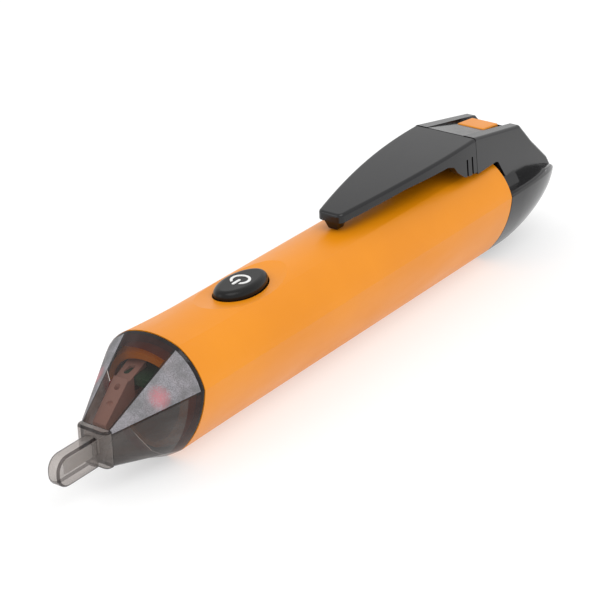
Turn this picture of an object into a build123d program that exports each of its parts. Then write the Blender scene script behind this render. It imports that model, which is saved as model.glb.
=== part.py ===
"""Non contact voltage tester: pen-shaped, two AAA cells in line, pocket clip on a pull-off battery cap.

Row frame: +X towards the sensing tip, +Y to one side, +Z up through the power button and the clip.
The origin is under the middle of the tester, on the flat that it rests on. Units are millimetres.
"""

from build123d import *
import math
import os

os.makedirs("parts", exist_ok=True)

# ---- driving dimensions -------------------------------------------------------------------------

tip_x = 75.0                 # end of the sensing blade
joint_x = 48.0               # front face of the tube, where the lens starts
flare_end_x = 32.0           # behind this the tube has a constant section
tube_rear_x = -50.8          # planar rear end of the tube
cap_front_x = -51.0          # front face of the battery cap
tail_x = -75.0               # end of the battery cap

joint_half_width = 11.1      # the section at the lens joint
joint_height = 23.5
main_half_width = 10.7       # the constant section
main_height = 23.0

tube_wall = 1.6
lens_wall = 1.25
seal_thickness = 0.4
spigot_length = 2.4
spigot_inset = 1.7
spigot_wall = 1.0

nose_rear_x = 63.8           # where the lens cone meets the nose collar
nose_front_x = 65.3          # front of the collar
nose_half_width = 3.5
nose_top_z = 12.7
nose_bottom_z = 5.7
blade_z = 8.5                # centre height of the sensing blade
blade_height = 5.8
blade_thickness = 2.5

button_x = 23.5
button_length = 13.0
button_width = 7.3
button_proud = 0.75          # above the tube's highest line
button_gap = 0.25
thumb_floor_z = 21.9         # lowest line of the shallow thumb hollow round the button
thumb_radius = 60.0

board_top_z = 16.8
board_thickness = 1.6
board_front_x = 52.5
board_rear_x = 17.0

cell_radius = 5.25           # AAA cell
cell_body_length = 43.7
cell_nub_length = 0.8
cell_nub_radius = 1.9
cell_z = 9.0
front_cell_nub_x = 26.2
channel_inner_radius = 5.4
channel_wall = 0.85

crease_x = -42.8             # seam between the clip leaf and the battery cap's hood
crease_z = 29.8 
peak_x = -60.5               # rear end of the hood's two rails
peak_z = 26.7
hood_bottom_z = 22.45
hood_inner_half_width = 5.3
rail_inner_half_width = 4.3
web_under_z = 27.1           # underside of the hood's top
window_half_width = 3.35
window_front_x = -51.9

catch_half_width = 3.1
catch_top_z = 28.0
catch_pivot_x = -45.2
catch_arm_z = 24.5

cap_neck_gap = 0.15
cap_neck_wall = 1.0
cap_neck_length = 8.0


# ---- shared outlines ----------------------------------------------------------------------------

# Corners and bulges of the body's section, as shares of its half width and of its height.
SHOULDER = (0.508, 0.955)
CHEEK = (0.828, 0.83)
SIDE = (1.0, 0.662)
FLANK = (0.848, 0.37)
HIP = (0.47, 0.10)
KEEL = (0.30, 0.046)
SOLE = (0.14, 0.0)


def body_section(x, half_width, top, bottom=0.0, inset=0.0):
    """The rounded shield-shaped section across the tester at station x."""
    height = top - bottom

    def at(share, side=1):
        return (side * share[0] * half_width, bottom + share[1] * height)

    with BuildSketch(Plane.YZ.offset(x)) as section:
        with BuildLine():
            ThreePointArc(at(SHOULDER, -1), at((0.0, 1.0)), at(SHOULDER))
            ThreePointArc(at(SHOULDER), at(CHEEK), at(SIDE))
            ThreePointArc(at(SIDE), at(FLANK), at(HIP))
            ThreePointArc(at(HIP), at(KEEL), at(SOLE))
            Line(at(SOLE), at(SOLE, -1))
            ThreePointArc(at(SOLE, -1), at(KEEL, -1), at(HIP, -1))
            ThreePointArc(at(HIP, -1), at(FLANK, -1), at(SIDE, -1))
            ThreePointArc(at(SIDE, -1), at(CHEEK, -1), at(SHOULDER, -1))
        make_face()
        if inset:
            offset(amount=-inset, kind=Kind.INTERSECTION)
    return section.sketch


def nose_section(x, half_width, top, bottom):
    """The small eight-sided section at the front of the lens cone, matching body_section's edges."""
    corner = 0.3
    foot = 0.4
    with BuildSketch(Plane.YZ.offset(x)) as section:
        with BuildLine():
            Polyline(
                (-half_width + corner, top),
                (half_width - corner, top),
                (half_width, top - 2 * corner),
                (half_width, bottom + foot),
                (half_width - foot, bottom),
                (-half_width + foot, bottom),
                (-half_width, bottom + foot),
                (-half_width, top - 2 * corner),
                close=True,
            )
        make_face()
    return section.sketch


def side_profile(points, y=0.0):
    """A closed polygon of (x, z) points on the plane at this y."""
    with BuildSketch(Plane.XZ.offset(-y)) as profile:
        with BuildLine():
            Polyline(*points, close=True)
        make_face()
    return profile.sketch


def save(part, name):
    part.label = name
    export_step(part, f"parts/{name}.step")


def joint_section(x, inset=0.0):
    """The body's section at the lens joint."""
    return body_section(x, joint_half_width, joint_height, inset=inset)


def shrunk_section(x, margin):
    """The joint's section made smaller by a margin at its sides and bottom, and a little more at its top."""
    top = joint_height - 1.2 * margin
    return body_section(x, joint_half_width - margin, top, bottom=margin)


def flare_section(share):
    """The body's section where this share of the flare's length is left; it closes in quickly at first."""
    x = flare_end_x + share * (joint_x - flare_end_x)
    growth = share**2
    half_width = main_half_width + growth * (joint_half_width - main_half_width)
    return body_section(x, half_width, main_height + growth * (joint_height - main_height))


# ---- body tube ----------------------------------------------------------------------------------

with BuildPart() as body_tube:
    loft([flare_section(share) for share in (1.0, 0.6, 0.25, 0.0)])
    extrude(body_section(flare_end_x, main_half_width, main_height), amount=tube_rear_x - flare_end_x)
    loft([shrunk_section(joint_x, spigot_inset), shrunk_section(joint_x + spigot_length, 2.6)])
    # the cavity behind, and the narrower way through the spigot
    cavity = body_section(tube_rear_x, main_half_width, main_height, inset=tube_wall)
    extrude(cavity, amount=joint_x - 4.0 - tube_rear_x, mode=Mode.SUBTRACT)
    bore_front = shrunk_section(joint_x + spigot_length, 2.6 + spigot_wall)
    loft([shrunk_section(joint_x - 4.5, 2.7), bore_front], mode=Mode.SUBTRACT)
    # the thumb hollow, shallow and long
    with BuildSketch(Plane.XZ.offset(-8.0)):
        with Locations((button_x, thumb_floor_z + thumb_radius)):
            Circle(thumb_radius)
    extrude(amount=16.0, mode=Mode.SUBTRACT)
    # the button's oval opening, with a flat ceiling inside for its flange
    with BuildSketch(Plane.XY.offset(main_height - 4.0)):
        with Locations((button_x, 0)):
            Ellipse(button_length / 2 + button_gap, button_width / 2 + button_gap)
    extrude(amount=6.0, mode=Mode.SUBTRACT)
    with BuildSketch(Plane.XY.offset(main_height - 1.8)):
        with Locations((button_x, 0)):
            RectangleRounded(button_length + 3.4, button_width + 2.4, 3.0)
    extrude(amount=-1.6, mode=Mode.SUBTRACT)
save(body_tube.part, "body_tube")

# ---- lens and its seal --------------------------------------------------------------------------

lens_rear_x = joint_x + seal_thickness

with BuildPart() as lens_seal:
    extrude(joint_section(joint_x, inset=0.2), amount=seal_thickness)
    extrude(shrunk_section(joint_x, spigot_inset - 0.05), amount=seal_thickness, mode=Mode.SUBTRACT)
save(lens_seal.part, "lens_seal")

with BuildPart() as collar:
    # round upright edges in front; its rear half is inside the cone
    with BuildSketch(Plane.XY.offset(nose_bottom_z)):
        with Locations((nose_rear_x, 0)):
            RectangleRounded(2 * (nose_front_x - nose_rear_x), 2 * nose_half_width, 1.2)
    extrude(amount=nose_top_z - nose_bottom_z)
    fillet(collar.faces().filter_by(Axis.Z).edges(), radius=0.45)

with BuildPart() as blade:
    # flat, with a round end; its rear end is inside the collar
    with BuildSketch(Plane.XZ.offset(-blade_thickness / 2)):
        with Locations(((nose_front_x - 1.2 + tip_x) / 2, blade_z)):
            RectangleRounded(tip_x - nose_front_x + 1.2, blade_height, 2.6)
        with Locations((nose_front_x + 0.9, blade_z)):
            Rectangle(4.2, blade_height)
    extrude(amount=blade_thickness)
    fillet(blade.faces().filter_by(Axis.Y).edges().filter_by(lambda e: e.center().X > nose_front_x), radius=0.7)

with BuildPart() as nose_lens:
    cone_front = nose_section(nose_rear_x, nose_half_width, nose_top_z, nose_bottom_z)
    loft([joint_section(lens_rear_x), cone_front], ruled=True)
    add(collar.part)
    add(blade.part)
    # hollow cone, and a slot for the sense strip inside the blade
    hollow_rear = body_section(
        lens_rear_x,
        joint_half_width - lens_wall,
        joint_height - lens_wall,
        bottom=lens_wall,
    )
    hollow_front = nose_section(
        nose_rear_x,
        nose_half_width - lens_wall + 0.25,
        nose_top_z - 1.2 * lens_wall,
        nose_bottom_z + lens_wall,
    )
    loft([hollow_rear, hollow_front], ruled=True, mode=Mode.SUBTRACT)
    with BuildSketch(Plane.XZ.offset(-0.4)):
        with Locations(((nose_rear_x + 72.6) / 2, blade_z)):
            Rectangle(72.6 - nose_rear_x + 1.0, 2.8)
    extrude(amount=0.8, mode=Mode.SUBTRACT)
save(nose_lens.part, "nose_lens")

# ---- board, its carrier and what is soldered to it ----------------------------------------------

carrier_z = board_top_z - board_thickness - 0.05
rail_front_x = 46.5
rail_rear_x = 30.5
rail_y = 6.2
screw_x = 40.0

with BuildPart() as board_carrier:
    # the stepped bar seen under the lens window, set at a slant
    bar_profile = side_profile(
        [
            (62.0, 12.0),
            (54.3, 17.0),
            (54.3, 16.55),
            (48.6, 17.95),
            (48.6, board_top_z + 0.05),
            (board_front_x + 0.15, board_top_z + 0.05),
            (board_front_x + 0.15, 12.9),
            (62.0, 10.3),
        ],
        y=8.0,
    )
    extrude(bar_profile, amount=16.0)
    with BuildSketch(Plane.XY):
        with BuildLine():
            Polyline((62.0, 0.6), (48.6, -1.3), (48.6, -4.8), (62.0, -2.3), close=True)
        make_face()
    extrude(amount=30.0, mode=Mode.INTERSECT)
    # the floor and the two rails under the board
    with BuildSketch(Plane.XY.offset(12.2)):
        with Locations((49.5, -2.9)):
            Rectangle(7.2, 2.0)
        with Locations(((46.9 + rail_front_x - 3.0) / 2, 0)):
            Rectangle(46.9 - rail_front_x + 3.0, 2 * rail_y + 2.6)
    extrude(amount=1.0)
    with BuildSketch(Plane.XY.offset(12.2)):
        for side in (1, -1):
            with Locations(((rail_front_x + rail_rear_x) / 2, side * rail_y)):
                Rectangle(rail_front_x - rail_rear_x, 2.6)
    extrude(amount=carrier_z - 12.2)
    # sight holes in the bar and pilot holes for the screws
    with BuildSketch(Plane.XY.offset(20.0)):
        with Locations((58.6, -1.3), (55.8, -1.8)):
            Circle(0.55)
        with Locations((51.4, -2.7)):
            SlotOverall(2.6, 1.2)
    extrude(amount=-6.0, mode=Mode.SUBTRACT)
    with BuildSketch(Plane.XY.offset(carrier_z)):
        with Locations((screw_x, rail_y), (screw_x, -rail_y)):
            Circle(0.7)
    extrude(amount=-2.6, mode=Mode.SUBTRACT)
save(board_carrier.part, "board_carrier")

with BuildPart() as main_board:
    with BuildSketch(Plane.XY.offset(board_top_z - board_thickness)):
        with BuildLine():
            Polyline(
                (board_front_x, 3.4),
                (joint_x + spigot_length, 5.6),
                (joint_x - 5.0, 7.4),
                (board_rear_x, 7.4),
                (board_rear_x, -7.4),
                (joint_x - 5.0, -7.4),
                (joint_x + spigot_length, -5.6),
                (board_front_x, -3.4),
                close=True,
            )
        make_face()
        with Locations((screw_x, rail_y), (screw_x, -rail_y)):
            Circle(0.85, mode=Mode.SUBTRACT)
    extrude(amount=board_thickness)
save(main_board.part, "main_board")

with BuildPart() as carrier_screws:
    for side in (1, -1):
        with BuildSketch(Plane.XY.offset(board_top_z)):
            with Locations((screw_x, side * rail_y)):
                Circle(1.25)
        extrude(amount=0.8)
        with BuildSketch(Plane.XY.offset(board_top_z)):
            with Locations((screw_x, side * rail_y)):
                Circle(0.68)
        extrude(amount=-3.8)
        with BuildSketch(Plane.XY.offset(board_top_z + 0.8)):
            with Locations((screw_x, side * rail_y)):
                Rectangle(1.6, 0.35)
                Rectangle(0.35, 1.6)
        extrude(amount=-0.4, mode=Mode.SUBTRACT)
save(carrier_screws.part, "carrier_screws")

led_places = ((51.6, 4.1), (49.2, -5.7))
led_z = 13.2
led_radius = 1.5

with BuildPart() as alert_leds:
    for led_x, led_y in led_places:
        with BuildSketch(Plane.YZ.offset(led_x)):
            with Locations((led_y, led_z)):
                Circle(led_radius)
        extrude(amount=2.4)
        with Locations((led_x + 2.4, led_y, led_z)):
            Sphere(led_radius)
        with BuildSketch(Plane.YZ.offset(led_x)):
            with Locations((led_y, led_z)):
                Circle(led_radius + 0.2)
        extrude(amount=0.6)
        # two leads, back and then up to the board
        with BuildSketch(Plane.YZ.offset(led_x)):
            with Locations((led_y - 0.5, led_z), (led_y + 0.5, led_z)):
                Rectangle(0.4, 0.4)
        extrude(amount=-1.6)
        with BuildSketch(Plane.XY.offset(led_z - 0.2)):
            with Locations((led_x - 1.4, led_y - 0.5), (led_x - 1.4, led_y + 0.5)):
                Rectangle(0.4, 0.4)
        extrude(amount=board_top_z - board_thickness - led_z + 0.2)
save(alert_leds.part, "alert_leds")

chip_x = 34.4
chip_y = 2.6

with BuildPart() as control_chip:
    with BuildSketch(Plane.XY.offset(board_top_z + 0.15)):
        with Locations((chip_x, chip_y)):
            Rectangle(8.6, 4.0)
    extrude(amount=1.4)
    chamfer(control_chip.faces().sort_by(Axis.Z)[-1].edges(), length=0.25)
    with BuildSketch(Plane.XY.offset(board_top_z)):
        with Locations((chip_x, chip_y)):
            with GridLocations(1.27, 5.4, 7, 2):
                Rectangle(0.45, 1.4)
    extrude(amount=0.35)
save(control_chip.part, "control_chip")

with BuildPart() as board_components:
    # chip resistors and capacitors, in two rows
    with BuildSketch(Plane.XY.offset(board_top_z)):
        with Locations((45.5, 3.2)):
            with GridLocations(2.6, 2.2, 2, 2):
                Rectangle(1.9, 1.15)
        with Locations((34.4, -4.6)):
            with GridLocations(3.0, 2.4, 3, 2):
                Rectangle(1.9, 1.15)
    extrude(amount=0.75)
    # a can capacitor
    with BuildSketch(Plane.XY.offset(board_top_z)):
        with Locations((28.7, -1.0)):
            Circle(1.4)
    extrude(amount=2.6)
save(board_components.part, "board_components")

strip_half_thickness = 0.15

with BuildPart() as antenna_strip:
    strip_profile = side_profile(
        [
            (72.2, 9.8),
            (63.0, 9.8),
            (61.5, 9.9),
            (52.0, 12.3),
            (50.3, 15.15),
            (48.5, 15.15),
            (48.5, 13.2),
            (51.5, 11.0),
            (62.0, 7.4),
            (72.2, 7.4),
        ],
        y=strip_half_thickness,
    )
    extrude(strip_profile, amount=2 * strip_half_thickness)
save(antenna_strip.part, "antenna_strip")

buzzer_x = 37.5
buzzer_radius = 4.7
buzzer_height = 5.4

with BuildPart() as buzzer_case:
    with BuildSketch(Plane.XY.offset(board_top_z - board_thickness)):
        with Locations((buzzer_x, 0)):
            Circle(buzzer_radius)
    extrude(amount=-buzzer_height)
    with BuildSketch(Plane.XY.offset(board_top_z - board_thickness - buzzer_height)):
        with Locations((buzzer_x, 0)):
            Circle(buzzer_radius - 0.5)
    extrude(amount=0.6, mode=Mode.SUBTRACT)
    with BuildSketch(Plane.XY.offset(board_top_z - board_thickness - buzzer_height + 0.6)):
        with Locations((buzzer_x, 0)):
            Circle(buzzer_radius - 1.0)
    extrude(amount=3.6, mode=Mode.SUBTRACT)
save(buzzer_case.part, "buzzer_case")

with BuildPart() as buzzer_disc:
    with BuildSketch(Plane.XY.offset(board_top_z - board_thickness - buzzer_height + 0.35)):
        with Locations((buzzer_x, 0)):
            Circle(buzzer_radius - 0.6)
            Circle(0.8, mode=Mode.SUBTRACT)
    extrude(amount=0.25)
save(buzzer_disc.part, "buzzer_disc")

# ---- switch and button --------------------------------------------------------------------------

switch_side = 6.2
switch_height = 1.9
switch_bore_radius = 1.7
plunger_radius = 1.62
plunger_top_z = 19.9

with BuildPart() as switch_base:
    with BuildSketch(Plane.XY.offset(board_top_z)):
        with Locations((button_x, 0)):
            Rectangle(switch_side, switch_side)
    extrude(amount=switch_height)
    chamfer(switch_base.faces().sort_by(Axis.Z)[-1].edges(), length=0.2)
    with BuildSketch(Plane.XY.offset(board_top_z + switch_height)):
        with Locations((button_x, 0)):
            Circle(switch_bore_radius)
    extrude(amount=-1.6, mode=Mode.SUBTRACT)
    with BuildSketch(Plane.XY.offset(board_top_z)):
        with Locations((button_x, 0)):
            with GridLocations(4.5, 8.0, 2, 2):
                Rectangle(0.7, 1.8)
    extrude(amount=0.25)
save(switch_base.part, "switch_base")

with BuildPart() as switch_plunger:
    with BuildSketch(Plane.XY.offset(plunger_top_z)):
        with Locations((button_x, 0)):
            Circle(plunger_radius)
    extrude(amount=-2.1)
    fillet(switch_plunger.faces().sort_by(Axis.Z)[-1].edges(), radius=0.2)
save(switch_plunger.part, "switch_plunger")

button_top_z = main_height + button_proud
flange_top_z = main_height - 1.85

with BuildPart() as power_button:
    with BuildSketch(Plane.XY.offset(flange_top_z)):
        with Locations((button_x, 0)):
            Ellipse(button_length / 2, button_width / 2)
    extrude(amount=button_top_z - flange_top_z)
    fillet(power_button.faces().sort_by(Axis.Z)[-1].edges(), radius=1.2)
    with BuildSketch(Plane.XY.offset(flange_top_z)):
        with Locations((button_x, 0)):
            RectangleRounded(button_length + 2.2, button_width + 1.2, 2.6)
    extrude(amount=-0.8)
    with BuildSketch(Plane.XY.offset(flange_top_z - 0.8)):
        with Locations((button_x, 0)):
            Circle(1.5)
    extrude(amount=-(flange_top_z - 0.8 - plunger_top_z - 0.03))
save(power_button.part, "power_button")

symbol_radius = 1.65
symbol_stroke = 0.5
symbol_height = 0.12

with BuildPart() as button_symbol:
    # the usual standby mark: an open ring, its gap and bar towards the tip
    with BuildSketch(Plane.XY.offset(button_top_z)):
        with Locations((button_x, 0)):
            Circle(symbol_radius + symbol_stroke / 2)
            Circle(symbol_radius - symbol_stroke / 2, mode=Mode.SUBTRACT)
        with Locations((button_x + symbol_radius, 0)):
            Rectangle(2.0, 1.7, mode=Mode.SUBTRACT)
        with Locations((button_x + symbol_radius * 0.75, 0)):
            SlotOverall(2.3, symbol_stroke)
    extrude(amount=symbol_height)
save(button_symbol.part, "button_symbol")

# ---- cells and their contacts -------------------------------------------------------------------

channel_front_x = 28.8
channel_rear_x = -42.0
channel_outer_radius = channel_inner_radius + channel_wall
channel_wall_top_z = 13.0

with BuildPart() as cell_channel:
    with BuildSketch(Plane.YZ.offset(channel_rear_x)):
        with Locations((0, cell_z)):
            Circle(channel_outer_radius)
        with Locations((0, (cell_z + channel_wall_top_z) / 2)):
            Rectangle(2 * channel_outer_radius, channel_wall_top_z - cell_z)
        with Locations((0, channel_wall_top_z + 5.0)):
            Rectangle(20.0, 10.0, mode=Mode.SUBTRACT)
        # keel rib down to the tube's floor and the shelf for the return strip
        with Locations((0, 2.3)):
            Rectangle(1.2, 1.2)
        with Locations((channel_outer_radius + 0.5, channel_wall_top_z - 0.4)):
            Rectangle(1.2, 0.8)
    extrude(amount=channel_front_x - channel_rear_x)
    with BuildSketch(Plane.YZ.offset(channel_rear_x)):
        with Locations((0, cell_z)):
            Circle(channel_inner_radius)
        with Locations((0, cell_z + 5.0)):
            Rectangle(2 * channel_inner_radius, 10.0)
    extrude(amount=front_cell_nub_x + 0.75 - channel_rear_x, mode=Mode.SUBTRACT)
save(cell_channel.part, "cell_channel")

with BuildPart() as front_contact:
    with BuildSketch(Plane.YZ.offset(front_cell_nub_x + 0.05)):
        with Locations((0, cell_z)):
            Rectangle(6.4, 6.4)
    extrude(amount=0.35)
    with BuildSketch(Plane.YZ.offset(front_cell_nub_x + 0.05)):
        with Locations((0, cell_z + 4.4)):
            Rectangle(2.0, 3.4)
    extrude(amount=0.35)
save(front_contact.part, "front_contact")


def aaa_cell(name, nub_x):
    """One AAA cell lying along X with its positive nub at nub_x."""
    with BuildPart() as cell:
        with BuildSketch(Plane.YZ.offset(nub_x)):
            with Locations((0, cell_z)):
                Circle(cell_nub_radius)
        extrude(amount=-cell_nub_length)
        fillet(cell.edges().sort_by(Axis.X)[-1], radius=0.3)
        with BuildSketch(Plane.YZ.offset(nub_x - cell_nub_length)):
            with Locations((0, cell_z)):
                Circle(cell_radius)
        extrude(amount=-cell_body_length)
        rims = cell.edges().filter_by(GeomType.CIRCLE).filter_by(lambda e: e.radius > cell_radius - 0.1)
        fillet(rims, radius=0.4)
    save(cell.part, name)
    return nub_x - cell_nub_length - cell_body_length


front_cell_end_x = aaa_cell("front_cell", front_cell_nub_x)
rear_cell_end_x = aaa_cell("rear_cell", front_cell_end_x)

with BuildPart() as return_strip:
    with BuildSketch(Plane.XY.offset(channel_wall_top_z)):
        with Locations((-10.0, channel_outer_radius + 0.5)):
            Rectangle(77.0, 0.3)
    extrude(amount=1.9)
save(return_strip.part, "return_strip")

# ---- battery cap --------------------------------------------------------------------------------

hood_front_x = crease_x - 0.1
hood_end_x = -72.9
ledge_z = 16.2               # the side ledges, which fall away towards the tail
contact_x = rear_cell_end_x - 5.0
finger_y = channel_outer_radius + 0.05
neck_front_x = cap_front_x + cap_neck_length
neck_inset = tube_wall + cap_neck_gap
neck_root_x = -57.0

cap_bend_x = -55.0           # behind this the cap closes in, like the end of a boat
cap_end_angle = 72.0
cap_bend_length = (cap_bend_x - tail_x) / math.sin(math.radians(cap_end_angle))
cap_bend_steps = 6


def cap_station(angle):
    """The cap's section where the curve of its closed end has turned by this angle."""
    closing = 1.0 - math.cos(math.radians(angle))
    x = cap_bend_x - cap_bend_length * math.sin(math.radians(angle))
    half_width = main_half_width * (1.0 - closing) ** 0.65
    bottom = 13.0 * closing
    widest_z = SIDE[1] * main_height - 3.4 * closing
    return body_section(x, half_width, bottom + (widest_z - bottom) / SIDE[1], bottom)


def main_section(x, inset):
    """The tube's constant section, drawn inwards."""
    return body_section(x, main_half_width, main_height, inset=inset)


def hood_section(x, top_half_width, bottom_half_width):
    """The hood across the tester: flat sides that stand apart more towards their bottom."""
    with BuildSketch(Plane.YZ.offset(x)) as section:
        with BuildLine():
            Polyline(
                (-top_half_width, 31.0),
                (top_half_width, 31.0),
                (bottom_half_width, 12.0),
                (-bottom_half_width, 12.0),
                close=True,
            )
        make_face()
    return section.sketch


with BuildSketch(Plane.XZ.offset(-9.0)) as hood_profile:
    with BuildLine():
        Polyline(
            (hood_front_x, hood_bottom_z),
            (hood_front_x, crease_z + 0.1),
            (peak_x, peak_z),
            (-65.2, 21.8),
            (-71.4, 16.3),
            (hood_end_x, 14.0),
            (hood_end_x, 12.0),
            (-55.0, 12.0),
            (-54.9, 16.3),
            (-51.0, 22.15),
            (-50.2, hood_bottom_z),
            close=True,
        )
    make_face()
    fillet(vertices().filter_by(lambda v: v.Y > 25.0 and v.X < -55.0), radius=1.0)
    fillet(vertices().filter_by(lambda v: 13.0 < v.Y < 24.0 and v.X < -60.0), radius=1.2)

with BuildPart() as hood:
    # the two side plates and the top, as one block with its sides drawn in towards the tail
    loft([hood_section(hood_front_x, 7.06, 8.4), hood_section(hood_end_x, 5.9, 6.6)])
    extrude(hood_profile.sketch, amount=18.0, mode=Mode.INTERSECT)
    # the outer edges of the rails and of the slope behind them
    outer = hood.edges().filter_by(lambda e: abs(e.center().Y) > 3.5 and min((e @ 0).Z, (e @ 1).Z) > 13.0)
    outer = outer.filter_by(lambda e: abs((e @ 0).X - (e @ 1).X) > 0.02)
    fillet(outer.filter_by(lambda e: e.center().Z > 23.0 or e.center().X < -65.0), radius=0.7)
    # the recess between the rails: level with the leaf at the crease, deeper towards the tail
    recess = side_profile(
        [
            (hood_front_x + 1.0, crease_z + 0.2),
            (hood_front_x, crease_z + 0.02),
            (window_front_x, 27.85),
            (-59.2, 26.3),
            (-62.0, 24.4),
            (-64.0, 40.0),
            (hood_front_x + 1.0, 40.0),
        ],
        y=rail_inner_half_width,
    )
    extrude(recess, amount=2 * rail_inner_half_width, mode=Mode.SUBTRACT)
    # room inside for the catch, and its window through the top
    inside = side_profile(
        [
            (hood_front_x + 1.0, 20.0),
            (hood_front_x + 1.0, web_under_z),
            (-53.0, web_under_z),
            (-59.8, 24.9),
            (-61.5, 22.9),
            (-61.5, 21.4),
            (-51.0, 21.4),
            (-51.0, 20.0),
        ],
        y=hood_inner_half_width,
    )
    extrude(inside, amount=2 * hood_inner_half_width, mode=Mode.SUBTRACT)
    # the cross wall that the release catch flexes from
    with BuildSketch(Plane.XY.offset(catch_arm_z - 0.7)):
        with Locations((catch_pivot_x + 1.35, 0)):
            Rectangle(1.2, 2 * hood_inner_half_width + 0.4)
    extrude(amount=web_under_z + 0.2 - catch_arm_z + 0.7)
    with BuildSketch(Plane.XY.offset(25.2)):
        with Locations(((window_front_x - 63.0) / 2, 0)):
            Rectangle(63.0 + window_front_x, 2 * window_half_width)
    extrude(amount=6.0, mode=Mode.SUBTRACT)

with BuildPart() as seal_groove:
    extrude(main_section(cap_front_x + 0.8, tube_wall - 0.5), amount=1.2)
    extrude(main_section(cap_front_x + 0.8, neck_inset + 0.35), amount=1.2, mode=Mode.SUBTRACT)

with BuildPart() as tail_cap:
    # the boat-shaped end
    extrude(body_section(cap_front_x, main_half_width, main_height), amount=cap_bend_x - cap_front_x)
    loft([cap_station(cap_end_angle * step / cap_bend_steps) for step in range(cap_bend_steps + 1)])
    # everything above the two side ledges goes
    above_ledges = side_profile(
        [
            (cap_front_x + 1.0, ledge_z),
            (-66.0, ledge_z - 0.3),
            (-71.0, ledge_z - 1.4),
            (tail_x - 1.0, ledge_z - 4.7),
            (tail_x - 1.0, 30.0),
            (cap_front_x + 1.0, 30.0),
        ],
        y=15.0,
    )
    extrude(above_ledges, amount=30.0, mode=Mode.SUBTRACT)
    ledges = tail_cap.edges().filter_by(lambda e: e.center().Z > 14.5 and abs(e.center().Y) > 6.0)
    fillet(ledges.filter_by(lambda e: abs(e.center().X - cap_front_x) > 0.5), radius=0.5)
    # the neck that slides into the tube
    extrude(main_section(neck_root_x, neck_inset), amount=neck_front_x - neck_root_x)
    add(hood.part)
    extrude(
        main_section(neck_root_x, neck_inset + cap_neck_wall),
        amount=neck_front_x - neck_root_x,
        mode=Mode.SUBTRACT,
    )
    # seal groove round the neck
    add(seal_groove.part, mode=Mode.SUBTRACT)
    # seats for the rear cell, the spring, the contact plate and its finger
    for seat_radius, seat_end_x in ((cell_radius + 0.35, rear_cell_end_x - 1.0), (4.6, contact_x - 0.6)):
        with BuildSketch(Plane.YZ.offset(neck_root_x)):
            with Locations((0, cell_z)):
                Circle(seat_radius)
        extrude(amount=seat_end_x - neck_root_x, mode=Mode.SUBTRACT)
    with BuildSketch(Plane.YZ.offset(neck_root_x)):
        with Locations((finger_y, channel_wall_top_z + 0.9)):
            Rectangle(1.2, 2.4)
    extrude(amount=contact_x - 0.6 - neck_root_x, mode=Mode.SUBTRACT)
    with BuildSketch(Plane.YZ.offset(contact_x + 0.3)):
        with Locations((finger_y / 2, channel_wall_top_z + 0.9)):
            Rectangle(finger_y + 0.8, 2.4)
    extrude(amount=-0.9, mode=Mode.SUBTRACT)
    # a hollow above the cell, to keep the wall even
    hollow = side_profile(
        [(-57.0, 13.0), (-57.0, 20.2), (-62.0, 20.2), (-65.5, 19.0), (-67.0, 16.0), (-67.0, 13.0)],
        y=4.8,
    )
    extrude(hollow, amount=9.6, mode=Mode.SUBTRACT)
save(tail_cap.part, "tail_cap")

with BuildPart() as tail_seal:
    extrude(main_section(cap_front_x + 0.85, tube_wall + 0.07), amount=1.1)
    extrude(main_section(cap_front_x + 0.85, neck_inset + 0.33), amount=1.1, mode=Mode.SUBTRACT)
save(tail_seal.part, "tail_seal")

with BuildPart() as cap_contact:
    with BuildSketch(Plane.YZ.offset(contact_x)):
        with Locations((0, cell_z)):
            Circle(4.2)
        with Locations((finger_y / 2, channel_wall_top_z + 0.9)):
            Rectangle(finger_y + 0.3, 1.6)
        with Locations((1.2, cell_z + 3.4)):
            Rectangle(2.4, 3.0)
    extrude(amount=-0.4)
    with BuildSketch(Plane.YZ.offset(contact_x)):
        with Locations((finger_y, channel_wall_top_z + 0.9)):
            Rectangle(0.3, 1.6)
    extrude(amount=-47.5 - contact_x)
save(cap_contact.part, "cap_contact")

spring_wire_radius = 0.3
spring_pitch = 1.15

with BuildPart() as cap_spring:
    with BuildLine():
        coil = Helix(
            pitch=spring_pitch,
            height=rear_cell_end_x - contact_x - 2 * spring_wire_radius - 0.1,
            radius=3.7,
            center=(contact_x + spring_wire_radius + 0.05, 0, cell_z),
            direction=(1, 0, 0),
            cone_angle=-10,
        )
    with BuildSketch(Plane(origin=coil @ 0, z_dir=coil % 0)):
        Circle(spring_wire_radius)
    sweep(path=coil, is_frenet=True)
save(cap_spring.part, "cap_spring")

# ---- catch in the cap ---------------------------------------------------------------------------

catch_arm_half_thickness = 0.6
catch_rear_x = -57.5

with BuildPart() as release_catch:
    with BuildSketch(Plane.XZ.offset(-catch_half_width)):
        with BuildLine():
            Polyline(
                (catch_pivot_x, catch_arm_z - catch_arm_half_thickness),
                (catch_rear_x, catch_arm_z - catch_arm_half_thickness),
                (catch_rear_x, catch_top_z - 0.6),
                (window_front_x - 0.15, catch_top_z),
                (window_front_x - 0.15, catch_arm_z + catch_arm_half_thickness),
                (catch_pivot_x, catch_arm_z + catch_arm_half_thickness),
            )
            ThreePointArc(
                (catch_pivot_x, catch_arm_z + catch_arm_half_thickness),
                (catch_pivot_x + catch_arm_half_thickness, catch_arm_z),
                (catch_pivot_x, catch_arm_z - catch_arm_half_thickness),
            )
        make_face()
    extrude(amount=2 * catch_half_width)
    fillet(release_catch.faces().filter_by(lambda f: f.center().Z > 27.2).edges(), radius=0.25)
save(release_catch.part, "release_catch")

# ---- pocket clip --------------------------------------------------------------------------------

clip_tip_x = -3.4
clip_rear_x = crease_x + 0.05
leaf_web = 1.4
flange = 1.3
foot_x = -5.4


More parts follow.
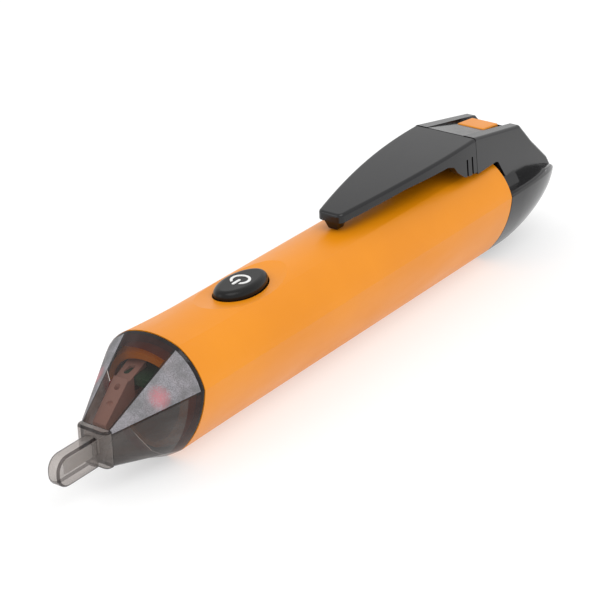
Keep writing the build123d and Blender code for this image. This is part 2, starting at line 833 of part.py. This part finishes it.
def leaf_outline(z, shrink=0.0, spread=0.0):
    """The clip leaf at this height: a narrow tip that widens towards the crease, and a little spread there."""
    front_x = clip_tip_x - shrink
    with BuildSketch(Plane.XY.offset(z)) as outline:
        with BuildLine():
            Line((front_x, 0), (front_x, 1.75 - 0.6 * shrink))
            ThreePointArc(
                (front_x, 1.75 - 0.6 * shrink),
                (front_x - 0.35, 2.45 - 0.8 * shrink),
                (front_x - 1.1, 2.85 - shrink),
            )
            Spline(
                (front_x - 1.1, 2.85 - shrink),
                (-15.0, 5.0 - shrink),
                (-27.0, 6.6 - shrink + 0.4 * spread),
                (clip_rear_x, 7.08 - shrink + spread),
            )
            Line((clip_rear_x, 7.08 - shrink + spread), (clip_rear_x, 0))
            mirror(about=Plane.XZ)
        make_face()
    return outline.sketch


def leaf_top(drop=0.0):
    """The gently crowned line of the leaf's top, lowered by drop."""
    return ThreePointArc((-2.0, 26.6 - drop), (-20.0, 28.5 - drop), (clip_rear_x - 1.0, crease_z - drop))


with BuildPart() as leaf_hollow:
    with BuildSketch(Plane.XZ.offset(-10.0)):
        with BuildLine():
            under = leaf_top(leaf_web)
            Polyline(under @ 1, (clip_rear_x - 1.0, 15.0), (-2.0, 15.0), under @ 0)
        make_face()
    extrude(amount=20.0)
    extrude(leaf_outline(10.0, shrink=flange), amount=30.0, mode=Mode.INTERSECT)

with BuildPart() as pocket_clip:
    with BuildSketch(Plane.XZ.offset(-10.0)):
        with BuildLine():
            crown = leaf_top()
            Polyline(
                crown @ 1,
                (clip_rear_x - 1.0, hood_bottom_z + 0.4),
                (-39.4, hood_bottom_z + 0.6),
                (-38.3, hood_bottom_z + 0.9),
                (-36.0, 25.0),
                (-34.9, 26.5),
                (-33.0, 27.1),
                (-20.0, 26.8),
                (-2.0, 24.9),
                crown @ 0,
            )
        make_face()
    extrude(amount=20.0)
    loft([leaf_outline(18.0, spread=0.9), leaf_outline(31.0)], mode=Mode.INTERSECT)
    rim = pocket_clip.faces().sort_by(Axis.Z)[-1].edges()
    fillet(rim.filter_by(lambda e: e.center().X > clip_rear_x + 0.5), radius=0.65)
    add(leaf_hollow.part, mode=Mode.SUBTRACT)
    # the legs beside the hood, open between them, with two grip grooves on each
    with BuildSketch(Plane.XY.offset(20.0)):
        with Locations((clip_rear_x - 4.0, 0)):
            Rectangle(12.0, 2 * (hood_inner_half_width + 0.25))
    extrude(amount=web_under_z + 0.2 - 20.0, mode=Mode.SUBTRACT)
    for side in (1, -1):
        with BuildSketch(Plane.XY.offset(20.0)):
            with Locations((-39.4, side * 7.55), (-41.2, side * 7.55)):
                Rectangle(0.5, 1.3)
        extrude(amount=6.6, mode=Mode.SUBTRACT)
    # the foot that rests on the tube
    with BuildSketch(Plane.XY.offset(26.2)) as foot_top:
        with Locations((foot_x, 0)):
            Rectangle(3.6, 4.2)
    with BuildSketch(Plane.XY.offset(main_height + 0.15)) as foot_bottom:
        with Locations((foot_x - 0.2, 0)):
            Rectangle(2.0, 1.9)
    loft([foot_top.sketch, foot_bottom.sketch])
save(pocket_clip.part, "pocket_clip")
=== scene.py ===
"""Looks of the non contact voltage tester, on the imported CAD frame.

Row frame, in metres: +X towards the sensing tip, +Y towards the camera's side, +Z up through the button.
"""

import bmesh
import bpy
import math
from mathutils import Matrix, Vector


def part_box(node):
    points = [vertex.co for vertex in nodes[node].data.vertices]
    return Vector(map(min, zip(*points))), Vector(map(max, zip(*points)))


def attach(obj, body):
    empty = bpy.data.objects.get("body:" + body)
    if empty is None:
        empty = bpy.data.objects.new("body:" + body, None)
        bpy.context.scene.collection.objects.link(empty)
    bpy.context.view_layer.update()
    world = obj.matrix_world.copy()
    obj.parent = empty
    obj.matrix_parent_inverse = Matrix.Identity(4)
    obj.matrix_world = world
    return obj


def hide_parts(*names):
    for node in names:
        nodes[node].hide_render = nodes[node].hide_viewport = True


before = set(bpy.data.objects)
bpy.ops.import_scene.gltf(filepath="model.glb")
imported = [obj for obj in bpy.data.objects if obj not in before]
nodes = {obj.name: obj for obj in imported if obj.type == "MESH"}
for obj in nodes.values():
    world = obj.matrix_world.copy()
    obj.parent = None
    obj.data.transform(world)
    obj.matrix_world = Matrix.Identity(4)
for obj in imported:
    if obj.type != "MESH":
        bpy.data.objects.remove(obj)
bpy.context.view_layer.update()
scene = bpy.context.scene
MM = 0.001

# ---- camera and light ---------------------------------------------------------------------------

camera_place = Vector((0.30868, 0.23143, 0.19481))
camera_right = Vector((-0.595, 0.803, -0.033)).normalized()
camera_back = Vector((0.716, 0.548, 0.431)).normalized()
camera_lens = 136.55
sensor_width = 36.0
nearest_seen = 0.01

lamp_target = (0, 0, 0.01)
# name, place, diameter and power in watts
lamps = (
    ("key", (0.10, 0.30, 0.60), 0.45, 1.0),
    ("fill", (0.55, -0.25, 0.35), 0.40, 0.5),
)
world_strength = 1.0

floor_size = 6.0
floor_gap = 0.00005
paper_grey = 0.50
paper_roughness = 0.9
# part of the floor's brightness is its own, so that the shadow under the tester stays faint
paper_glow = 0.5


def make_camera():
    data = bpy.data.cameras.new("camera")
    data.lens = camera_lens
    data.sensor_width = sensor_width
    data.clip_start = nearest_seen
    camera = bpy.data.objects.new("camera", data)
    up = camera_back.cross(camera_right).normalized()
    right = up.cross(camera_back)
    turn = Matrix((right, up, camera_back)).transposed()
    camera.matrix_world = Matrix.Translation(camera_place) @ turn.to_4x4()
    scene.collection.objects.link(camera)
    scene.camera = camera


def area_light(name, place, size, power):
    data = bpy.data.lights.new(name, "AREA")
    data.shape = "DISK"
    data.size = size
    data.energy = power
    light = bpy.data.objects.new(name, data)
    light.location = place
    aim = Vector(lamp_target) - Vector(place)
    light.rotation_euler = aim.to_track_quat("-Z", "Y").to_euler()
    scene.collection.objects.link(light)


def make_surroundings():
    world = bpy.data.worlds.new("studio")
    scene.world = world
    world.use_nodes = True
    background = world.node_tree.nodes["Background"]
    background.inputs["Color"].default_value = (1.0, 1.0, 1.0, 1.0)
    background.inputs["Strength"].default_value = world_strength
    for name, place, size, power in lamps:
        area_light(name, place, size, power)
    scene.view_settings.view_transform = "Standard"


def make_floor():
    bpy.ops.mesh.primitive_plane_add(size=floor_size, location=(0, 0, -floor_gap))
    floor = bpy.context.object
    floor.name = "floor"
    grey = (paper_grey, paper_grey, paper_grey)
    paper, shader, _ = new_material("floor_paper", grey, paper_roughness)
    shader.inputs["Emission Color"].default_value = (1.0, 1.0, 1.0, 1.0)
    shader.inputs["Emission Strength"].default_value = paper_glow
    floor.data.materials.append(paper)


# ---- materials ----------------------------------------------------------------------------------

# noise scales are in features per metre, depths in metres
drift_scale = 55.0
smear_scale = 170.0
gloss_spread = 0.06
grain_depth = 0.00003
drawn_scale = 900.0
drawn_stretch = (0.1, 1.0, 1.0)
drawn_depth = 0.00002
streak_scale = 300.0
ripple_scale = 260.0
ripple_depth = 0.0001
smoke_blend = 0.35

speckle_scale = 5200.0
cloud_scale = 420.0
frost_scale = 2200.0
frost_depth = 0.00006
frost_cover = 0.9
# how far the speckle frays the edges of the painted pink light patches
fray = 0.0016
# full strength inside the first distance, none beyond the second
painted_glow_reach = (0.0006, 0.0028)
painted_glint_reach = (0.0001, 0.0008)


def new_material(name, colour, roughness, metallic=0.0):
    material = bpy.data.materials.new(name)
    material.use_nodes = True
    tree = material.node_tree
    shader = tree.nodes["Principled BSDF"]
    shader.inputs["Base Color"].default_value = (*colour, 1.0)
    shader.inputs["Roughness"].default_value = roughness
    shader.inputs["Metallic"].default_value = metallic
    return material, shader, tree


def object_noise(tree, scale, detail, stretch=(1.0, 1.0, 1.0)):
    """Noise that is fixed to the object; scale is in features per metre."""
    place = tree.nodes.new("ShaderNodeTexCoord")
    mapping = tree.nodes.new("ShaderNodeMapping")
    mapping.inputs["Scale"].default_value = stretch
    noise = tree.nodes.new("ShaderNodeTexNoise")
    noise.inputs["Scale"].default_value = scale
    noise.inputs["Detail"].default_value = detail
    tree.links.new(place.outputs["Object"], mapping.inputs["Vector"])
    tree.links.new(mapping.outputs["Vector"], noise.inputs["Vector"])
    return noise.outputs["Fac"]


def map_range(tree, value, low, high, out_low, out_high):
    node = tree.nodes.new("ShaderNodeMapRange")
    node.inputs["From Min"].default_value = low
    node.inputs["From Max"].default_value = high
    node.inputs["To Min"].default_value = out_low
    node.inputs["To Max"].default_value = out_high
    tree.links.new(value, node.inputs["Value"])
    return node.outputs["Result"]


def blend_colours(tree, factor, first, second):
    """factor 0 gives first, 1 gives second; each is a colour or a socket."""
    mix = tree.nodes.new("ShaderNodeMix")
    mix.data_type = "RGBA"
    tree.links.new(factor, mix.inputs["Factor"])
    for socket, colour in ((mix.inputs["A"], first), (mix.inputs["B"], second)):
        if isinstance(colour, tuple):
            socket.default_value = (*colour, 1.0)
        else:
            tree.links.new(colour, socket)
    return mix.outputs["Result"]


def add_bump(tree, shader, height, strength, distance):
    bump = tree.nodes.new("ShaderNodeBump")
    bump.inputs["Strength"].default_value = strength
    bump.inputs["Distance"].default_value = distance
    tree.links.new(height, bump.inputs["Height"])
    tree.links.new(bump.outputs["Normal"], shader.inputs["Normal"])


def moulded_plastic(name, colour, other, roughness, grain=2600.0, relief=0.25, gleam=0.5):
    """Moulded plastic: a fine spark-eroded grain, a slight drift of colour and uneven gloss."""
    material, shader, tree = new_material(name, colour, roughness)
    shader.inputs["Specular IOR Level"].default_value = gleam
    drift = object_noise(tree, drift_scale, 3.0)
    tint = blend_colours(tree, map_range(tree, drift, 0.35, 0.65, 0.0, 1.0), colour, other)
    tree.links.new(tint, shader.inputs["Base Color"])
    smears = object_noise(tree, smear_scale, 5.0, (0.4, 1.0, 1.0))
    gloss = map_range(tree, smears, 0.3, 0.7, roughness - gloss_spread, roughness + gloss_spread)
    tree.links.new(gloss, shader.inputs["Roughness"])
    add_bump(tree, shader, object_noise(tree, grain, 2.0), relief, grain_depth)
    return material


def metal(name, colour, roughness):
    """Plated or rolled metal with fine drawn lines along X."""
    material, shader, tree = new_material(name, colour, roughness, 1.0)
    lines = object_noise(tree, drawn_scale, 3.0, drawn_stretch)
    gloss = map_range(tree, lines, 0.3, 0.7, roughness - 0.08, roughness + 0.1)
    tree.links.new(gloss, shader.inputs["Roughness"])
    darker = tuple(0.8 * c for c in colour)
    tint = blend_colours(tree, map_range(tree, lines, 0.35, 0.7, 0.0, 1.0), colour, darker)
    tree.links.new(tint, shader.inputs["Base Color"])
    add_bump(tree, shader, lines, 0.2, drawn_depth)
    return material


def clear_plastic(name, colour, tint, least, most, roughness=0.1):
    """Smoky clear plastic: tinted where it is looked through, and more solid at grazing angles.

    least and most are the solid shares seen straight on and at a grazing angle.
    """
    material, shader, tree = new_material(name, colour, roughness)
    clear = tree.nodes.new("ShaderNodeBsdfTransparent")
    clear.inputs["Color"].default_value = (*tint, 1.0)
    facing = tree.nodes.new("ShaderNodeLayerWeight")
    facing.inputs["Blend"].default_value = smoke_blend
    streaks = object_noise(tree, streak_scale, 3.0, (0.25, 1.0, 1.0))
    share = map_range(tree, facing.outputs["Facing"], 0.0, 1.0, least, most)
    uneven = tree.nodes.new("ShaderNodeMath")
    uneven.operation = "MULTIPLY"
    tree.links.new(share, uneven.inputs[0])
    tree.links.new(map_range(tree, streaks, 0.3, 0.7, 0.8, 1.25), uneven.inputs[1])
    mix = tree.nodes.new("ShaderNodeMixShader")
    tree.links.new(uneven.outputs["Value"], mix.inputs["Fac"])
    tree.links.new(clear.outputs["BSDF"], mix.inputs[1])
    tree.links.new(shader.outputs["BSDF"], mix.inputs[2])
    tree.links.new(mix.outputs["Shader"], tree.nodes["Material Output"].inputs["Surface"])
    add_bump(tree, shader, object_noise(tree, ripple_scale, 2.0), 0.08, ripple_depth)
    return material


def spot(tree, ragged, place, reach):
    """1 near this place on either side of the tester, falling to 0 at the outer distance."""
    inner, outer = reach
    gap = tree.nodes.new("ShaderNodeVectorMath")
    gap.operation = "DISTANCE"
    gap.inputs[1].default_value = place
    tree.links.new(ragged, gap.inputs[0])
    return map_range(tree, gap.outputs["Value"], inner, outer, 1.0, 0.0)


def frosted_plastic(name, painted_glow_place, painted_glint_place):
    """The lens's ground facets: pale and fine-grained, with pink light painted where a lamp stands behind
    them and a small painted glint.
    """
    material, shader, tree = new_material(name, (0.30, 0.29, 0.30), 0.55)
    place = tree.nodes.new("ShaderNodeTexCoord")
    sides = tree.nodes.new("ShaderNodeVectorMath")
    sides.operation = "ABSOLUTE"
    tree.links.new(place.outputs["Object"], sides.inputs[0])
    speckle = object_noise(tree, speckle_scale, 3.0)
    shift = tree.nodes.new("ShaderNodeVectorMath")
    shift.operation = "MULTIPLY_ADD"
    shift.inputs[1].default_value = (fray, fray, fray)
    tree.links.new(speckle, shift.inputs[0])
    tree.links.new(sides.outputs["Vector"], shift.inputs[2])
    ragged = shift.outputs["Vector"]
    grain = map_range(tree, speckle, 0.35, 0.65, 0.0, 1.0)
    ground = blend_colours(tree, grain, (0.17, 0.165, 0.18), (0.33, 0.315, 0.34))
    cloud = map_range(tree, object_noise(tree, cloud_scale, 3.0), 0.4, 0.65, 0.0, 0.6)
    ground = blend_colours(tree, cloud, ground, (0.115, 0.12, 0.12))
    facing = tree.nodes.new("ShaderNodeLayerWeight")
    facing.inputs["Blend"].default_value = 0.5
    graze = map_range(tree, facing.outputs["Facing"], 0.6, 0.92, 0.0, 0.8)
    ground = blend_colours(tree, graze, ground, (0.07, 0.065, 0.07))
    # painted pink light where a lamp shines through the ground facet
    glow = spot(tree, ragged, painted_glow_place, painted_glow_reach)
    tint = blend_colours(tree, glow, ground, (0.72, 0.19, 0.22))
    # a small painted pale glint
    spark = spot(tree, ragged, painted_glint_place, painted_glint_reach)
    tint = blend_colours(tree, spark, tint, (0.95, 0.72, 0.74))
    tree.links.new(tint, shader.inputs["Base Color"])
    clear = tree.nodes.new("ShaderNodeBsdfTransparent")
    clear.inputs["Color"].default_value = (0.62, 0.57, 0.56, 1.0)
    mix = tree.nodes.new("ShaderNodeMixShader")
    mix.inputs["Fac"].default_value = frost_cover
    tree.links.new(clear.outputs["BSDF"], mix.inputs[1])
    tree.links.new(shader.outputs["BSDF"], mix.inputs[2])
    tree.links.new(mix.outputs["Shader"], tree.nodes["Material Output"].inputs["Surface"])
    add_bump(tree, shader, object_noise(tree, frost_scale, 3.0), 0.35, frost_depth)
    return material


# ---- softened CAD nodes -------------------------------------------------------------------------

weld_distance = 0.000002
flat_angle = 0.6
sharp_angle = 28.0
bevel_segments = 2


def soften(node, width):
    """Rounds a CAD node's sharp edges with modifiers; the node's own mesh stays as it is."""
    piece = nodes[node]
    weld = piece.modifiers.new("weld", "WELD")
    weld.merge_threshold = weld_distance
    flat = piece.modifiers.new("flatten", "DECIMATE")
    flat.decimate_type = "DISSOLVE"
    flat.angle_limit = math.radians(flat_angle)
    bevel = piece.modifiers.new("edges", "BEVEL")
    bevel.width = width
    bevel.segments = bevel_segments
    bevel.limit_method = "ANGLE"
    bevel.angle_limit = math.radians(sharp_angle)
    bevel.harden_normals = False
    normals = piece.modifiers.new("normals", "WEIGHTED_NORMAL")
    normals.keep_sharp = False


def dress(material, *names):
    """Puts one material on these CAD nodes."""
    for name in names:
        piece = nodes[name]
        for slot in piece.material_slots:
            slot.material = material


orange = moulded_plastic(
    "orange_plastic", (0.73, 0.240, 0.001), (0.77, 0.260, 0.002), 0.36, gleam=0.36
)
black = moulded_plastic(
    "black_plastic", (0.005, 0.005, 0.006), (0.009, 0.009, 0.010), 0.18, 3200.0, 0.3, gleam=0.42
)
rubber = moulded_plastic(
    "button_rubber", (0.004, 0.004, 0.004), (0.007, 0.007, 0.007), 0.30, 1800.0, 0.2, gleam=0.25
)
seal = moulded_plastic("seal_rubber", (0.012, 0.012, 0.012), (0.02, 0.02, 0.02), 0.5)
ink = moulded_plastic("white_ink", (0.80, 0.80, 0.79), (0.72, 0.72, 0.71), 0.4)
brown = moulded_plastic("brown_plastic", (0.68, 0.43, 0.36), (0.56, 0.35, 0.29), 0.4)
tin = moulded_plastic("tinned_strip", (0.50, 0.47, 0.45), (0.42, 0.40, 0.38), 0.45)
dark = moulded_plastic("dark_plastic", (0.03, 0.03, 0.032), (0.04, 0.04, 0.042), 0.45)
green = moulded_plastic("solder_mask", (0.02, 0.10, 0.05), (0.035, 0.13, 0.07), 0.3)
red_lamp = moulded_plastic("lamp_red", (0.75, 0.03, 0.03), (0.65, 0.02, 0.02), 0.15)
ceramic = moulded_plastic("chip_ceramic", (0.40, 0.32, 0.22), (0.20, 0.16, 0.12), 0.4)
sleeve = moulded_plastic("cell_sleeve", (0.05, 0.08, 0.13), (0.04, 0.06, 0.10), 0.25)
nickel = metal("nickel_plate", (0.72, 0.70, 0.66), 0.25)
brass = metal("brass_strip", (0.72, 0.52, 0.25), 0.28)

dress(orange, "body_tube", "release_catch")
dress(black, "tail_cap", "pocket_clip")
dress(rubber, "power_button")
dress(ink, "button_symbol")
dress(seal, "lens_seal", "tail_seal")
dress(brown, "board_carrier")
dress(green, "main_board")
dress(dark, "control_chip", "buzzer_case", "switch_base", "switch_plunger", "cell_channel")
dress(red_lamp, "alert_leds")
dress(ceramic, "board_components")
dress(sleeve, "front_cell", "rear_cell")
dress(nickel, "front_contact", "return_strip", "cap_contact", "cap_spring", "carrier_screws")
dress(tin, "antenna_strip")
dress(brass, "buzzer_disc")

soften("tail_cap", 0.2 * MM)
soften("release_catch", 0.15 * MM)
soften("board_carrier", 0.12 * MM)

# ---- lens ---------------------------------------------------------------------------------------

# lengths of the lens are in millimetres until its points are made
lens_low, lens_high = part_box("nose_lens")
ring_x = lens_low[0] / MM
ring_side = lens_high[1] / MM
ring_top = lens_high[2] / MM
tip_x = lens_high[0] / MM
nose_x = 63.8
collar_front_x = 65.3
nose_side = 3.5
nose_top = 12.7
nose_bottom = 5.7
blade_z = 8.5
blade_half_height = 2.9
blade_half_thickness = 1.25
edge_width = 0.2
widest_edge_share = 0.15
collar_radius = 1.25
collar_root = 0.3
blade_radius = 2.6
blade_root = 0.4
rim_radius = 0.4
# width of the blade's raised rim and depth of the field inside it
blade_recess = (0.75, 0.18)
recess_slope = 0.25
# edges that turn by more than this many radians get rounded
sharp_turn = 0.5

# shares of the way from the ring to the nose; the first row is the edge at the joint, the second the rim;
# both carry painted shade
cone_rows = (0.0, 0.03, 0.17, 0.32, 0.5, 0.68, 0.85, 1.0)

# where the painted lamp light and the painted glint sit on the ground facet, in metres; Y counts without its
# sign, so each side has one
painted_glow_place = (0.0549, 0.0064, 0.0160)
painted_glint_place = (0.0496, 0.0073, 0.01905)

# the lens's material indices
SMOKY = 0
FROSTED = 1
# the edge and rim materials are darker as painted shade
SHADED_EDGE = 2
SHADED_RIM = 3
SIDE = 4
SOLID = 5


def arc(first, middle, last, share):
    """The point at this share of the angle along the circle through three (y, z) points."""
    (ax, ay), (bx, by), (cx, cy) = first, middle, last
    d = 2.0 * (ax * (by - cy) + bx * (cy - ay) + cx * (ay - by))
    a2, b2, c2 = ax * ax + ay * ay, bx * bx + by * by, cx * cx + cy * cy
    ox = (a2 * (by - cy) + b2 * (cy - ay) + c2 * (ay - by)) / d
    oy = (a2 * (cx - bx) + b2 * (ax - cx) + c2 * (bx - ax)) / d
    start = math.atan2(ay - oy, ax - ox)
    turn = math.atan2(cy - oy, cx - ox) - start
    turn = (turn + math.pi) % (2.0 * math.pi) - math.pi
    radius = math.hypot(ax - ox, ay - oy)
    angle = start + share * turn
    return ox + radius * math.cos(angle), oy + radius * math.sin(angle)


def facet_columns(ring_arc, nose_line, count, material):
    """Ring point, nose point and material across one facet, kept a little away from its two edges.

    The last column has the edge's painted-shade material, because the strip after it is the edge between two
    facets.
    """
    (ny0, nz0), (ny1, nz1) = nose_line
    ring_length = math.dist(ring_arc[0], ring_arc[2])
    nose_length = math.dist(*nose_line)
    columns = []
    ring_margin = edge_width / ring_length
    nose_margin = min(edge_width / nose_length, widest_edge_share)
    for step in range(count + 1):
        share = step / count
        r = ring_margin + share * (1.0 - 2.0 * ring_margin)
        n = nose_margin + share * (1.0 - 2.0 * nose_margin)
        nose_point = (ny0 + n * (ny1 - ny0), nz0 + n * (nz1 - nz0))
        columns.append((arc(*ring_arc, r), nose_point, material if step < count else SHADED_EDGE))
    return columns


def lens_columns():
    """All columns round the lens cone, from one side of its underside over the top to the other.

    The ring's corners are shares of its half width and of its height, as in the tube's section.
    """
    shoulder = (0.508 * ring_side, 0.955 * ring_top)
    cheek = (0.828 * ring_side, 0.83 * ring_top)
    side = (ring_side, 0.662 * ring_top)
    flank = (0.848 * ring_side, 0.37 * ring_top)
    hip = (0.47 * ring_side, 0.10 * ring_top)
    keel = (0.30 * ring_side, 0.046 * ring_top)
    sole = (0.14 * ring_side, 0.0)
    corner = (nose_side - 0.55, nose_top)
    elbow = (nose_side, nose_top - 0.75)
    foot = (nose_side, nose_bottom + 0.35)
    toe = (nose_side - 0.4, nose_bottom)
    middle = (0.6, nose_bottom)

    def far(points):
        return tuple((-y, z) for y, z in reversed(points))

    half = (
        ((shoulder, cheek, side), (corner, elbow), 5, FROSTED),
        ((side, flank, hip), (elbow, foot), 7, SIDE),
        ((hip, keel, sole), (toe, middle), 3, SIDE),
    )
    columns = []
    for ring_arc, nose_line, count, material in reversed(half):
        columns += facet_columns(far(ring_arc), far(nose_line), count, material)
    top_arc = ((-shoulder[0], shoulder[1]), (0.0, ring_top), shoulder)
    columns += facet_columns(top_arc, ((-corner[0], corner[1]), corner), 8, SMOKY)
    for ring_arc, nose_line, count, material in half:
        columns += facet_columns(ring_arc, nose_line, count, material)
    return columns


def add_cone(work):
    """The lens cone's skin: facets, narrow edges between them darkened with painted shade, and the rim at the
    joint darkened with painted shade.
    """
    columns = lens_columns()
    grid = []
    for (ry, rz), (ny, nz), _ in columns:
        line = []
        for t in cone_rows:
            point = Vector((ring_x + t * (nose_x - ring_x), ry + t * (ny - ry), rz + t * (nz - rz)))
            line.append(work.verts.new(point * MM))
        grid.append(line)
    for index, (_, _, material) in enumerate(columns):
        here = grid[index]
        there = grid[(index + 1) % len(grid)]
        for row in range(len(cone_rows) - 1):
            face = work.faces.new((here[row], here[row + 1], there[row + 1], there[row]))
            face.smooth = True
            face.material_index = material
            # the joint row and the rim row carry painted shade
            if row == 0:
                face.material_index = SHADED_EDGE
            elif row == 1 and material in (SMOKY, SIDE):
                face.material_index = SHADED_RIM


def round_edges(work, faces, radius, material):
    """Rounds the sharp edges of these faces."""
    edges = {edge for face in faces for edge in face.edges if edge.calc_face_angle(0.0) > sharp_turn}
    result = bmesh.ops.bevel(
        work, geom=list(edges), offset=radius * MM, segments=3, profile=0.5, affect="EDGES", material=material
    )
    for face in result["faces"]:
        face.smooth = True


def add_block(work, low_outline, high_outline, recess=None):
    """A prism between two outlines, with rounded rims in the painted-shade edge material and an optional
    shallow field in its two ends.
    """
    low = [work.verts.new(point * MM) for point in low_outline]
    high = [work.verts.new(point * MM) for point in high_outline]
    ends = [work.faces.new(low), work.faces.new(list(reversed(high)))]
    faces = list(ends)
    for index in range(len(low)):
        after = (index + 1) % len(low)
        faces.append(work.faces.new((low[after], low[index], high[index], high[after])))
    bmesh.ops.recalc_face_normals(work, faces=faces)
    for face in faces:
        face.smooth = True
        face.material_index = SOLID
    if recess:
        width, depth = recess
        for face in ends:
            bmesh.ops.inset_region(work, faces=[face], thickness=width * MM, use_even_offset=True)
            ring = bmesh.ops.inset_region(work, faces=[face], thickness=recess_slope * MM, depth=-depth * MM)
            for slope in ring["faces"]:
                slope.smooth = True
    rims = {edge for face in faces[2:] for edge in face.edges}
    rimmed = [face for face in faces if face.is_valid and set(face.edges) & rims]
    round_edges(work, rimmed, rim_radius, SHADED_EDGE)


def quarter_circle(centre, radius, start, steps):
    """Points over a quarter turn from the start angle, which is in degrees."""
    turns = [math.radians(start + 90.0 / steps * step) for step in range(steps + 1)]
    return [(centre[0] + radius * math.cos(turn), centre[1] + radius * math.sin(turn)) for turn in turns]


def collar_outline(z):
    """The collar from above, with round front corners."""
    rear = nose_x - collar_root
    points = [(rear, -nose_side)]
    for side, start in ((-1, -90.0), (1, 0.0)):
        centre = (collar_front_x - collar_radius, side * (nose_side - collar_radius))
        points += quarter_circle(centre, collar_radius, start, 4)
    points.append((rear, nose_side))
    return [Vector((x, y, z)) for x, y in points]


def blade_outline(y):
    """The blade from the side, with a round end."""
    rear = collar_front_x - blade_root
    centre_x = tip_x - blade_radius
    points = [(rear, blade_z - blade_half_height)]
    low_centre = (centre_x, blade_z + (blade_radius - blade_half_height))
    high_centre = (centre_x, blade_z + (blade_half_height - blade_radius))
    points += quarter_circle(low_centre, blade_radius, -90.0, 6)
    points += quarter_circle(high_centre, blade_radius, 0.0, 6)
    points.append((rear, blade_z + blade_half_height))
    return [Vector((x, y, z)) for x, z in points]


def make_lens():
    """The smoky lens: faceted cone with two ground facets, collar and sensing blade."""
    mesh = bpy.data.meshes.new("lens")
    work = bmesh.new()
    add_cone(work)
    add_block(work, collar_outline(nose_bottom), collar_outline(nose_top))
    near_side = blade_outline(blade_half_thickness)
    far_side = blade_outline(-blade_half_thickness)
    add_block(work, far_side, near_side, blade_recess)
    bmesh.ops.recalc_face_normals(work, faces=work.faces)
    work.to_mesh(mesh)
    work.free()
    for material in (
        clear_plastic("smoky_window", (0.06, 0.05, 0.048), (0.68, 0.61, 0.59), 0.14, 0.8),
        frosted_plastic("frosted_lens", painted_glow_place, painted_glint_place),
        # painted shade: darker, more solid strips for the dark lines that refraction draws along edges
        clear_plastic("lens_edges_painted_shade", (0.018, 0.015, 0.015), (0.42, 0.38, 0.37), 0.5, 0.9, 0.07),
        # painted shade at the joint, where the orange spigot lies in shadow behind the lens
        clear_plastic("lens_rim_painted_shade", (0.045, 0.022, 0.020), (0.30, 0.17, 0.165), 0.45, 0.8),
        clear_plastic("smoky_side", (0.065, 0.058, 0.055), (0.50, 0.45, 0.43), 0.62, 0.9, 0.16),
        clear_plastic("lens_solid", (0.24, 0.22, 0.21), (0.88, 0.85, 0.83), 0.22, 0.75, 0.08),
    ):
        mesh.materials.append(material)
    lens = bpy.data.objects.new("lens", mesh)
    scene.collection.objects.link(lens)
    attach(lens, "body")
    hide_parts("nose_lens")


make_lens()
make_camera()
make_surroundings()
make_floor()

bpy.context.view_layer.update()
